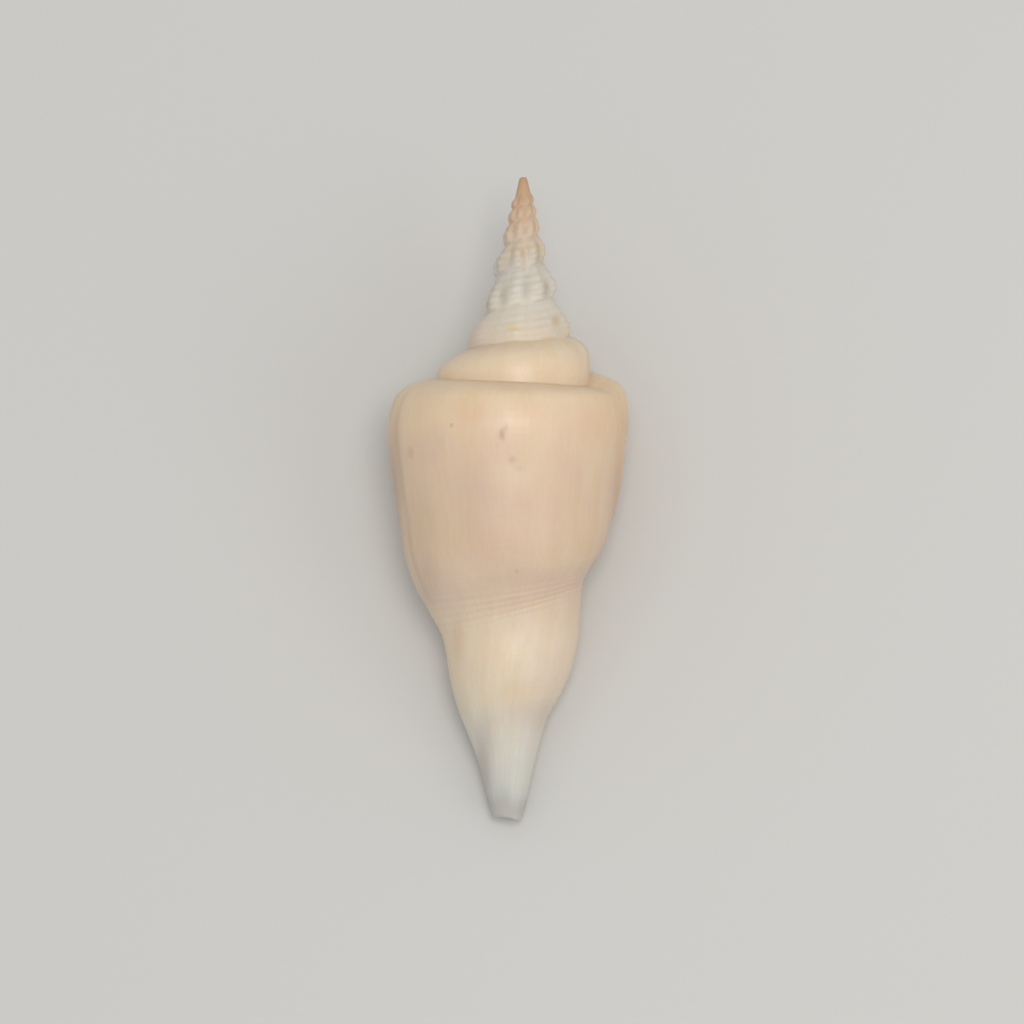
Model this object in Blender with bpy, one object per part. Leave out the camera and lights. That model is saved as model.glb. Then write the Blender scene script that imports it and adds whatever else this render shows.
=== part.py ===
"""Shell of the sea snail Cyrtulus serotinus, one closed body.

The shell lies on its aperture with the spire towards +Y and the back of the last whorl up.
Its surface is a strip that coils about the Y axis. A place on the strip is given by the turn
n at which it grew (0 is the right side of the last whorl, the lip stands at LIP) and by a
station t that runs down the whorl from the suture (0) to the end of the canal (18).
"""

import math

import bmesh
import bpy
import numpy as np
from mathutils import Matrix, Vector
from mathutils.geometry import tessellate_polygon

MM = 0.001

# Coiling, in turns
LIP = 0.63
SPIRE_TURNS = 7
START = LIP - 1.0
FIRST = START - SPIRE_TURNS

# Mesh density
COLUMNS = 45
WHORL_ROWS = 8
LOWER_ROWS = 22
CORNER_ROW = 10
CAVITY_COLUMNS = 12

# Sculpture of the spire, millimetres and counts
RIBS_PER_TURN = 8
RIB_PHASE = 0.272
CORDS_PER_WHORL = 4
CORD_HEIGHT = 0.10

# Wall, columella and canal, millimetres
WALL_BODY = 1.25
WALL_CANAL = 0.55
CAVITY_DEPTH_BODY = 0.62
CAVITY_DEPTH_CANAL = 0.24
CAVITY_TAPER = 1.55
CANAL_FLOOR = 0.35
SLOT_COLUMELLA = 0.19
SLOT_LIP = 0.10
SLOT_NARROWING = 3.0
SLOT_FROM = 8.0
SLOT_OVER = 5.0
CANAL_SHIFT = -1.80
SPIRE_LEAN = 0.22
APEX = 35.0
CROWN_HEIGHT = 34.75
CROWN_WIDTH = 0.55

# Lie of the shell on the floor, degrees and millimetres
ROLL = 6.717
PITCH = 12.561
LIFT = 9.2115
WORN = 0.12
ACROSS = 1.437
ALONG = 0.152

# Suture: turn, radius, height
SUTURE = [
    (-7.37, 0.66, 33.8), (-7, 0.79, 33.3), (-6, 1.0, 32.1), (-5, 1.29, 30.8), (-4, 1.59, 28.8),
    (-3, 2.23, 25.9), (-2, 3.32, 22.0), (-1.5, 3.97, 19.9), (-1, 5.18, 17.7), (-0.5, 5.88, 16.1),
    (-0.25, 6.64, 14.7), (0, 7.41, 12.8), (0.1, 7.68, 12.2), (0.25, 8.28, 12.5), (0.5, 9.2, 13.1),
    (0.63, 9.58, 13.3),
]

# Form of the spire's whorls: turn, fullness under the suture, sag of the bulge towards the lower
# suture, height of the bulge and height of the ribs, both as shares of the lower suture's radius
WHORL_FORM = [
    (-7.37, 1.6, 1.0, 0.08, 0.12), (-4.5, 1.3, 1.0, 0.09, 0.13), (-3.8, 1.0, 1.15, 0.10, 0.15),
    (-3.0, 1.0, 1.5, 0.10, 0.14), (-2.5, 1.0, 1.6, 0.05, 0.09), (-2.0, 1.0, 1.6, 0.05, 0.07),
    (-1.5, 2.3, 1.2, 0.0, 0.02), (-1.0, 5.0, 1.0, 0.0, 0.0), (-0.5, 2.4, 1.0, 0.0, 0.0),
    (START, 2.4, 1.0, 0.0, 0.0),
]

# Outlines of the last whorl from the suture to the end of the canal: radius, height
OUTLINES = {
    START: [
        (6.32, 15.4), (7.84, 15.0), (8.93, 14.4), (9.58, 13.3), (9.91, 10.7), (9.69, 7.2),
        (8.82, 3.6), (7.51, 0.4), (6.32, -2.3), (5.34, -5.1), (4.79, -8.0), (4.57, -11.1),
        (4.36, -14.9), (3.92, -17.8), (3.48, -20.9), (2.94, -24.1), (2.29, -27.9), (1.74, -31.7),
        (1.31, -34.9),
    ],
    0.0: [
        (7.41, 12.8), (8.45, 12.35), (9.62, 11.8), (10.58, 10.9), (11.0, 8.8), (10.68, 5.3),
        (10.13, 0.9), (9.68, -2.3), (8.78, -5.1), (7.38, -7.4), (6.75, -9.3), (6.86, -12.1),
        (7.1, -15.4), (6.93, -18.1), (6.14, -20.9), (4.6, -24.1), (3.48, -27.9), (2.62, -31.7),
        (1.93, -34.9),
    ],
    0.5: [
        (9.2, 13.1), (10.89, 12.8), (12.52, 12.2), (13.83, 10.9), (14.65, 7.2), (14.16, 3.1),
        (13.38, -2.3), (12.72, -6.3), (11.57, -9.4), (9.6, -12.4), (7.8, -15.1), (7.07, -17.0),
        (6.45, -19.2), (5.7, -21.4), (4.88, -23.6), (3.9, -26.0), (2.86, -28.8), (1.98, -32.1),
        (1.42, -34.9),
    ],
    LIP: [
        (9.58, 13.3), (11.22, 13.0), (12.74, 12.4), (13.94, 11.2), (14.59, 7.5), (14.16, 3.3),
        (13.29, -1.9), (12.41, -6.3), (11.22, -9.7), (9.15, -12.8), (7.3, -15.6), (6.53, -17.6),
        (5.88, -19.8), (5.12, -21.9), (4.36, -24.1), (3.48, -26.5), (2.61, -29.2), (1.91, -32.3),
        (1.42, -34.9),
    ],
}
ATTACH = 3
LAST = 18
SUTURE_REACH = 3.0
CALLUS_PAD = 0.35

# Callus over the under side of the last whorl: outward and upward growth at each station
CALLUS = [
    (0.0, 1.0), (0.55, 1.0), (0.75, 0.9), (0.75, 0.55), (0.65, 0.1), (0.6, 0.0), (0.55, 0.0),
    (0.5, 0.0), (0.45, 0.0), (0.3, 0.0), (0.1, 0.0),
]


def step(value):
    """Smooth rise from 0 to 1 while value goes from 0 to 1."""
    value = np.clip(value, 0.0, 1.0)
    return value * value * (3.0 - 2.0 * value)


def slopes_of(knots, values):
    """Slopes at the knots that keep the curve from overshooting, along the first axis."""
    width = np.diff(knots).reshape((-1,) + (1,) * (values.ndim - 1))
    rise = np.diff(values, axis=0) / width
    before, after = rise[:-1], rise[1:]
    same = before * after > 0.0
    w1 = 2.0 * width[1:] + width[:-1]
    w2 = width[1:] + 2.0 * width[:-1]
    safe_before = np.where(same, before, 1.0)
    safe_after = np.where(same, after, 1.0)
    mean = (w1 + w2) / (w1 / safe_before + w2 / safe_after)
    slopes = np.zeros_like(values)
    slopes[1:-1] = np.where(same, mean, 0.0)
    slopes[0], slopes[-1] = rise[0], rise[-1]
    return slopes


def blend_cubic(s, width, v0, v1, m0, m1):
    """Cubic between two values with given slopes; s runs from 0 to 1 over the width."""
    s2, s3 = s * s, s * s * s
    return ((2 * s3 - 3 * s2 + 1) * v0 + (s3 - 2 * s2 + s) * width * m0
            + (3 * s2 - 2 * s3) * v1 + (s3 - s2) * width * m1)


def through(x, knots, values):
    """Smooth curve through values (knots, ...) read at the places x."""
    knots = np.asarray(knots, float)
    values = np.asarray(values, float)
    slopes = slopes_of(knots, values)
    x = np.clip(x, knots[0], knots[-1])
    i = np.clip(np.searchsorted(knots, x, side="right") - 1, 0, len(knots) - 2)
    tail = (1,) * (values.ndim - 1)
    width = (knots[i + 1] - knots[i]).reshape(x.shape + tail)
    s = (x - knots[i]).reshape(x.shape + tail) / width
    return blend_cubic(s, width, values[i], values[i + 1], slopes[i], slopes[i + 1])


def suture(n):
    """Radius and height of the suture at the turns n."""
    table = np.array(SUTURE)
    both = through(n, table[:, 0], table[:, 1:])
    return both[..., 0], both[..., 1]


def outline(n, t):
    """Radius and height of the last whorl at turns n (columns) and stations t (rows, columns).

    The first stations are drawn to the suture's height, less and less down to SUTURE_REACH.
    """
    knots = np.array(sorted(OUTLINES))
    tables = np.array([OUTLINES[k] for k in knots])
    at_turn = through(n, knots, tables)
    values = np.moveaxis(at_turn, 1, 0)
    slopes = slopes_of(np.arange(LAST + 1.0), values)
    i = np.clip(t.astype(int), 0, LAST - 1)[..., None]
    s = t[..., None] - i
    pick = [np.take_along_axis(a, i + k, axis=0) for a in (values, slopes) for k in (0, 1)]
    both = blend_cubic(s, 1.0, *pick)
    drawn = (suture(n)[1] - values[0, :, 1]) * (1.0 - step(t / SUTURE_REACH))
    return both[..., 0] * (1.0 - SLOT_NARROWING * np.clip(n - LIP, 0.0, 1.0)), both[..., 1] + drawn


def even_stations(n, start, end, count):
    """Stations from start to end that lie at even distances along the outline at turn n."""
    fine = np.linspace(start, end, 400)
    r, y = outline(np.array([n]), fine[:, None])
    length = np.concatenate([[0.0], np.cumsum(np.hypot(np.diff(r[:, 0]), np.diff(y[:, 0])))])
    return np.interp(np.linspace(0.0, length[-1], count), length, fine)


def whorl_form(n):
    """Fullness, sag, height of the bulge and height of the ribs at the turns n."""
    table = np.array(WHORL_FORM)
    return np.moveaxis(through(n, table[:, 0], table[:, 1:]), -1, 0)


def spire_whorl(n, u):
    """Radius and height of a spire whorl at turns n, u from its upper (0) to its lower suture (1)."""
    r0, y0 = suture(n)
    r1, y1 = suture(n + 1.0)
    fullness, sag, bulge, rib_height = whorl_form(n)
    r = r0 + (r1 - r0) * (1.0 - (1.0 - u) ** fullness)
    arch = np.sin(math.pi * u ** sag)
    ribs = 0.5 + 0.5 * np.cos(2.0 * math.pi * (RIBS_PER_TURN * n - RIB_PHASE))
    cords = -np.cos(2.0 * math.pi * CORDS_PER_WHORL * u)
    r = r + r1 * (bulge * arch + rib_height * ribs * np.abs(arch) ** 0.8)
    ribbed = 1.0 - step((n + 2.1) / 0.8)
    corded = ribbed * step((n + 6.0) / 2.0) * np.clip(r1 / 3.3, 0.0, 1.0)
    r = r + CORD_HEIGHT * corded * cords * np.abs(arch) ** 0.5 * (0.4 + 0.6 * ribs)
    return r, y0 + (y1 - y0) * u


def callus_at(n, t):
    """Outward and upward growth of the callus at turns n and stations t."""
    table = np.vstack([CALLUS, np.zeros((LAST + 1 - len(CALLUS), 2))])
    both = through(t, np.arange(LAST + 1.0), table)
    edge = 0.06 - 0.08 * step((t - 4.5) / 3.5)
    mask = step((n - START) / 0.12) * (1.0 - step((n - edge + 0.02) / 0.03))
    pad = CALLUS_PAD * np.exp(-((n + 0.17) / 0.06) ** 2) * np.exp(-((t - 4.6) / 1.6) ** 2)
    return (both[..., 0] + pad) * mask, both[..., 1] * mask


def last_whorl():
    """Turns, radii and heights of the last whorl's rows and columns."""
    lower = WHORL_ROWS + LOWER_ROWS
    u = np.arange(WHORL_ROWS + 1) / WHORL_ROWS
    at_start = np.concatenate([ATTACH * u[:-1], even_stations(START, ATTACH, LAST, LOWER_ROWS + 1)])
    at_lip = even_stations(LIP, 0.0, LAST, lower + 1)
    part = np.arange(COLUMNS + 1) / COLUMNS
    opened = SLOT_COLUMELLA * step((at_start - 8.0) / 5.0)
    turned = SLOT_LIP * step((at_lip - SLOT_FROM) / SLOT_OVER)
    n = START + part + opened[:, None] * (1.0 - part) + turned[:, None] * part
    spread = step(part / 0.45)
    t = at_start[:, None] * (1.0 - spread) + at_lip[:, None] * spread
    r, y = np.empty_like(t), np.empty_like(t)
    for row in range(lower + 1):
        rr, yy = outline(n[row], t[row:row + 1])
        r[row], y[row] = rr[0], yy[0]
    grown_r, grown_y = callus_at(n, t)
    r, y = r + grown_r, y + grown_y
    keep = 1.0 - step(part / 0.25)
    upper = slice(0, WHORL_ROWS + 1)
    fullness = WHORL_FORM[-1][1]
    whorl_r, whorl_y = [], []
    r0, y0 = r[0], y[0]
    r1, y1 = r[WHORL_ROWS], y[WHORL_ROWS]
    for row in range(WHORL_ROWS + 1):
        whorl_r.append(r0 + (r1 - r0) * (1.0 - (1.0 - u[row]) ** fullness))
        whorl_y.append(y0 + (y1 - y0) * u[row])
    r[upper] = keep * np.array(whorl_r) + (1.0 - keep) * r[upper]
    y[upper] = keep * np.array(whorl_y) + (1.0 - keep) * y[upper]
    return n, t, r, y


def wall_inside(n, t):
    """Radius and height of the inner side of the wall at turns n and stations t, same shape."""
    thickness = WALL_BODY + (WALL_CANAL - WALL_BODY) * step((t - 8.0) / 9.0)
    r, y = outline(n, t[None, :])
    ra, ya = outline(n, np.clip(t - 0.05, 0.0, LAST)[None, :])
    rb, yb = outline(n, np.clip(t + 0.05, 0.0, LAST)[None, :])
    dr, dy = rb - ra, yb - ya
    length = np.hypot(dr, dy)
    return (r + thickness * dy / length)[0], (y - thickness * dr / length)[0]


def cavity(n, r, y):
    """Two sheets of the hollow: the wall side and the columella side, as turns, radii, heights."""
    rows = WHORL_ROWS + LOWER_ROWS - CORNER_ROW + 1
    start_r, start_y = r[CORNER_ROW:, 0], y[CORNER_ROW:, 0]
    start_n, lip_n = n[CORNER_ROW:, 0] + 1.0, n[CORNER_ROW:, -1]
    fine = np.linspace(1.7, LAST, 300)
    fr, fy = wall_inside(np.full(fine.shape, LIP), fine)
    fr, fy = np.append(start_r[0], fr), np.append(start_y[0], fy)
    length = np.concatenate([[0.0], np.cumsum(np.hypot(np.diff(fr), np.diff(fy)))])
    even = np.linspace(0.0, length[-1], rows)
    t = np.interp(even, length, np.append(1.7, fine))
    reach = np.clip(even / length[1], 0.0, 1.0)
    canal = step((t - 9.0) / 4.0)
    depth = CAVITY_DEPTH_BODY + (CAVITY_DEPTH_CANAL - CAVITY_DEPTH_BODY) * canal
    floor = 1.0 + (CANAL_FLOOR - 1.0) * canal
    fold_n = lip_n - depth
    fold_y = (1.0 - reach) * start_y + reach * wall_inside(fold_n, t)[1]
    sheets = []
    for m in range(CAVITY_COLUMNS + 1):
        angle = 0.5 * math.pi * m / CAVITY_COLUMNS
        way, gap = math.sin(angle), math.cos(angle)
        in_n = start_n + (fold_n - start_n) * way
        back = start_n - in_n
        in_r = start_r * (floor + (1.0 - floor) * np.exp(-(back / 0.06) ** 2)) * CAVITY_TAPER ** -back
        in_y = start_y + (fold_y - start_y) * step(way)
        out_n = lip_n + (fold_n - lip_n) * way
        wall_r, wall_y = wall_inside(out_n, t)
        wall_r = (1.0 - reach) * in_r + reach * wall_r
        wall_y = (1.0 - reach) * in_y + reach * wall_y
        out_r = in_r + (wall_r - in_r) * gap
        out_y = in_y + (wall_y - in_y) * gap
        sheets.append(((out_n, out_r, out_y), (in_n, in_r, in_y)))
    return sheets


def place(n, r, y):
    """Points of the shell in metres from turns, radii and heights in millimetres."""
    angle = 2.0 * math.pi * n
    centre = CANAL_SHIFT * step((-6.7 - y) / 17.4) + SPIRE_LEAN * np.clip((y - 21.6) / 13.1, 0.0, 1.0)
    return np.stack([centre + r * np.cos(angle), y, r * np.sin(angle)], axis=-1) * MM


def bridge(bm, first, second):
    """Triangles between two chains of vertices, each step taken where the new edge is shorter."""
    i = j = 0
    while i < len(first) - 1 or j < len(second) - 1:
        a, b = first[i], second[j]
        next_a = first[i + 1] if i < len(first) - 1 else None
        next_b = second[j + 1] if j < len(second) - 1 else None
        use_a = next_b is None or (
            next_a is not None and (next_a.co - b.co).length <= (next_b.co - a.co).length)
        corner = next_a if use_a else next_b
        if len({a, b, corner}) == 3:
            bm.faces.new((a, b, corner))
        i, j = (i + 1, j) if use_a else (i, j + 1)


def quads(bm, grid):
    """Quads over a grid of vertices given as a list of columns."""
    for left, right in zip(grid[:-1], grid[1:]):
        for k in range(len(left) - 1):
            ring = [left[k], right[k], right[k + 1], left[k + 1]]
            corners = [v for at, v in enumerate(ring) if v is not ring[at - 1]]
            if len(corners) > 2:
                bm.faces.new(corners)


def build_shell():
    """Mesh of the whole shell as one closed body."""
    bm = bmesh.new()

    def new(points):
        return [bm.verts.new(Vector(p)) for p in points]

    n, _, r, y = last_whorl()
    last = [new(column) for column in place(n, r, y).transpose(1, 0, 2)]
    attach = last[0][WHORL_ROWS]
    bm.verts.remove(last[-1][0])
    last[-1][0] = attach

    spire_columns = SPIRE_TURNS * COLUMNS
    u = np.arange(WHORL_ROWS + 1) / WHORL_ROWS
    spire_n = FIRST + np.arange(spire_columns) / COLUMNS
    sr, sy = spire_whorl(np.broadcast_to(spire_n, (WHORL_ROWS + 1, spire_columns)), u[:, None])
    points = place(spire_n[None, :], sr, sy)
    spire = [new(points[:-1, i]) for i in range(spire_columns)]
    upper = spire + [column[:WHORL_ROWS] for column in last]
    for i in range(spire_columns):
        spire[i].append(upper[i + COLUMNS][0])
    spire.append(last[0][:WHORL_ROWS + 1])
    quads(bm, spire)
    quads(bm, last)

    tip = bm.verts.new(Vector((SPIRE_LEAN * MM, APEX * MM, 0.0)))
    ring = [spire[i][0] for i in range(COLUMNS + 1)] + spire[0][WHORL_ROWS - 1:0:-1]
    ring.append(ring[0])
    crown = []
    for vertex in ring[:-1]:
        drawn = tip.co.lerp(vertex.co, CROWN_WIDTH)
        drawn.y = CROWN_HEIGHT * MM
        crown.append(bm.verts.new(drawn))
    crown.append(crown[0])
    quads(bm, [ring, crown])
    for a, b in zip(crown, crown[1:]):
        bm.faces.new((tip, b, a))

    sheets = cavity(n, r, y)
    outer, inner = [], []
    for m, (wall, core) in enumerate(sheets):
        core_column = last[0][CORNER_ROW:] if m == 0 else new(place(*core))
        wall_column = core_column if m == CAVITY_COLUMNS else (
            [core_column[0]] + new(place(*wall)[1:]))
        outer.append(wall_column)
        inner.append(core_column)
    quads(bm, outer)
    quads(bm, inner)

    bridge(bm, last[-1], last[0][WHORL_ROWS:CORNER_ROW] + outer[0])
    end = [column[-1] for column in last] + [column[-1] for column in outer]
    end += [column[-1] for column in inner[-2:0:-1]]
    for triangle in tessellate_polygon([[v.co for v in end]]):
        bm.faces.new([end[k] for k in triangle])

    bmesh.ops.recalc_face_normals(bm, faces=bm.faces)
    return bm


def lay_down(bm):
    """Turns the shell onto its aperture and wears the spots that touch the floor flat."""
    turn = Matrix.Rotation(math.radians(PITCH), 4, "X") @ Matrix.Rotation(math.radians(ROLL), 4, "Y")
    lift = Matrix.Translation((ACROSS * MM, ALONG * MM, (LIFT - WORN) * MM))
    bmesh.ops.transform(bm, matrix=lift @ turn, verts=bm.verts)
    whole = bm.verts[:] + bm.edges[:] + bm.faces[:]
    cut = bmesh.ops.bisect_plane(bm, geom=whole, dist=0.02 * MM, plane_co=(0.0, 0.0, 0.0),
                                 plane_no=(0.0, 0.0, 1.0), clear_inner=True)
    rim = [item for item in cut["geom_cut"] if isinstance(item, bmesh.types.BMEdge)]
    bmesh.ops.holes_fill(bm, edges=rim)
    for vertex in bm.verts:
        vertex.co.z = max(vertex.co.z, 0.0)
    bmesh.ops.recalc_face_normals(bm, faces=bm.faces)


def shell_material():
    """Cream shell with a low gloss."""
    material = bpy.data.materials.new("shell")
    material.use_nodes = True
    shader = material.node_tree.nodes["Principled BSDF"]
    shader.inputs["Base Color"].default_value = (0.68, 0.52, 0.37, 1.0)
    shader.inputs["Roughness"].default_value = 0.42
    shader.inputs["Metallic"].default_value = 0.0
    return material


def main():
    for old in list(bpy.data.objects):
        bpy.data.objects.remove(old)
    bm = build_shell()
    lay_down(bm)
    mesh = bpy.data.meshes.new("shell")
    bm.to_mesh(mesh)
    bm.free()
    mesh.materials.append(shell_material())
    mesh.shade_smooth()
    mesh.set_sharp_from_angle(angle=math.radians(50.0))
    bpy.context.scene.collection.objects.link(bpy.data.objects.new("shell", mesh))


main()
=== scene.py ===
"""Presentation of a Cyrtulus serotinus shell that lies on its aperture.

The shell is one piece. Its surface is a strip that coils about the shell's own Y axis. A place
on the strip is given by the turn n at which it grew, where 0 is the right side of the last whorl
and the lip stands at 0.63, and by a station t that runs down the whorl from the suture, 0, to
the end of the canal, 18. A spire whorl spans the stations 0 to 3. Sizes are millimetres.
"""

import logging
import math
from dataclasses import dataclass, field
from enum import Enum
from typing import Any

import bmesh
import bpy
import numpy as np
from mathutils import Matrix, Vector
from mathutils.geometry import tessellate_polygon


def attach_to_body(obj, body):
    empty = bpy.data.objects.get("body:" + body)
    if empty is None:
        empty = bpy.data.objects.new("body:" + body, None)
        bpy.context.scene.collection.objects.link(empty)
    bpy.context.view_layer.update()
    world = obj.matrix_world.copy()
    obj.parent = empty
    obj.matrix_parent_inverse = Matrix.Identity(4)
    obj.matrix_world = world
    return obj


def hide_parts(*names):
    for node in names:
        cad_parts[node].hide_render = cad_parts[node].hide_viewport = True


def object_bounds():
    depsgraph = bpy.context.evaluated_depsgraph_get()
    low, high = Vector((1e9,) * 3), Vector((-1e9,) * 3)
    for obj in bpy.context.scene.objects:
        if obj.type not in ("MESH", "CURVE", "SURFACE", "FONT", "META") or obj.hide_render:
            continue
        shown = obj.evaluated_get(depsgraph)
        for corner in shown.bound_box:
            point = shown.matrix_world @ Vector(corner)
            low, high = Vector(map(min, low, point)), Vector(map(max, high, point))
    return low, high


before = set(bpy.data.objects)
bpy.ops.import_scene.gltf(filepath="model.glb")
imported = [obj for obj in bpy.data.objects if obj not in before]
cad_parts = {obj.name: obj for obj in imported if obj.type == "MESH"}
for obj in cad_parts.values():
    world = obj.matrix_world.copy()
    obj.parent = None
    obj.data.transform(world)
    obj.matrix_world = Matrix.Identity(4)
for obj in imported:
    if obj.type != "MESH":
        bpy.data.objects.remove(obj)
CAD_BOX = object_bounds()

LOG = logging.getLogger("shell")
MM = 0.001
TURN = 2.0 * math.pi
Array = np.ndarray
Tree = bpy.types.NodeTree
Node = bpy.types.Node
Socket = bpy.types.NodeSocket
Curve = tuple[tuple[float, float], ...]
Stops = tuple[tuple[float, str], ...]


class Side(Enum):
    """Which side of the shell's wall a face belongs to, as the number its material reads."""

    OUTSIDE = 0.0
    RIM = 0.5
    INSIDE = 1.0


def ease(value: Any) -> Any:
    """Rises smoothly from 0 to 1 while value goes from 0 to 1: 3 v squared minus 2 v cubed."""
    value = np.clip(value, 0.0, 1.0)
    return value * value * (3.0 - 2.0 * value)


def hump(value: Array, centre: float, width: float) -> Array:
    """Bell of height 1: e to the minus square of the distance from centre over width."""
    return np.exp(-((value - centre) / width) ** 2)


def curve_slopes(knots: Array, values: Array) -> Array:
    """Slopes that keep a cubic from overshooting: the weighted harmonic mean of the two chords.

    Args:
        knots: Rising places, one per value.
        values: Values at the knots along the first axis.

    Returns:
        Slopes in the shape of values, 0 where the chords change sign.
    """
    width = np.diff(knots).reshape((-1,) + (1,) * (values.ndim - 1))
    rise = np.diff(values, axis=0) / width
    before, after = rise[:-1], rise[1:]
    same = before * after > 0.0
    near, far = 2.0 * width[1:] + width[:-1], width[1:] + 2.0 * width[:-1]
    mean = (near + far) / (near / np.where(same, before, 1.0) + far / np.where(same, after, 1.0))
    slopes = np.zeros_like(values)
    slopes[1:-1] = np.where(same, mean, 0.0)
    slopes[0], slopes[-1] = rise[0], rise[-1]
    return slopes


def cubic(s: Array, width: Any, v0: Array, v1: Array, m0: Array, m1: Array) -> Array:
    """Cubic from v0 to v1 with slopes m0 and m1, while s goes from 0 to 1 over the width."""
    s2, s3 = s * s, s * s * s
    return ((2 * s3 - 3 * s2 + 1) * v0 + (s3 - 2 * s2 + s) * width * m0
            + (3 * s2 - 2 * s3) * v1 + (s3 - s2) * width * m1)


def curve_through(x: Array, knots: Array, values: Array) -> Array:
    """Reads the smooth curve through values at the places x.

    Args:
        x: Places to read, of any shape.
        knots: Rising places of the values.
        values: Values along the first axis.

    Returns:
        The curve at x, with the values' other axes last.
    """
    knots, values = np.asarray(knots, float), np.asarray(values, float)
    slopes = curve_slopes(knots, values)
    x = np.clip(x, knots[0], knots[-1])
    i = np.clip(np.searchsorted(knots, x, side="right") - 1, 0, len(knots) - 2)
    tail = (1,) * (values.ndim - 1)
    width = (knots[i + 1] - knots[i]).reshape(x.shape + tail)
    s = (x - knots[i]).reshape(x.shape + tail) / width
    return cubic(s, width, values[i], values[i + 1], slopes[i], slopes[i + 1])


def lengths_along(points: Array) -> Array:
    """Distance of each point of a chain from its first point, along the chain."""
    steps = np.linalg.norm(np.diff(points, axis=0), axis=1)
    return np.concatenate([[0.0], np.cumsum(steps)])


@dataclass(frozen=True)
class Lie:
    """How the shell lies on the floor: degrees, then millimetres."""

    roll: float = 6.717
    pitch: float = 12.561
    across: float = 1.437
    along: float = 0.152
    lift: float = 9.0915

    def matrix(self) -> Matrix:
        """Gives the move from the shell's own axes to the floor: roll, then pitch, then lift."""
        turn = Matrix.Rotation(math.radians(self.pitch), 4, "X")
        turn = turn @ Matrix.Rotation(math.radians(self.roll), 4, "Y")
        return Matrix.Translation(Vector((self.across, self.along, self.lift)) * MM) @ turn

    def lay(self, points: Array) -> Array:
        """Turns points onto the floor and wears flat what would reach below it.

        Args:
            points: Points in metres on the shell's own axes, (count, 3).

        Returns:
            The same points on the floor's axes, none of them outside the solid's box.
        """
        move = np.array(self.matrix())
        laid = points @ move[:3, :3].T + move[:3, 3]
        return np.clip(laid, np.array(CAD_BOX[0]), np.array(CAD_BOX[1]))


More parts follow.
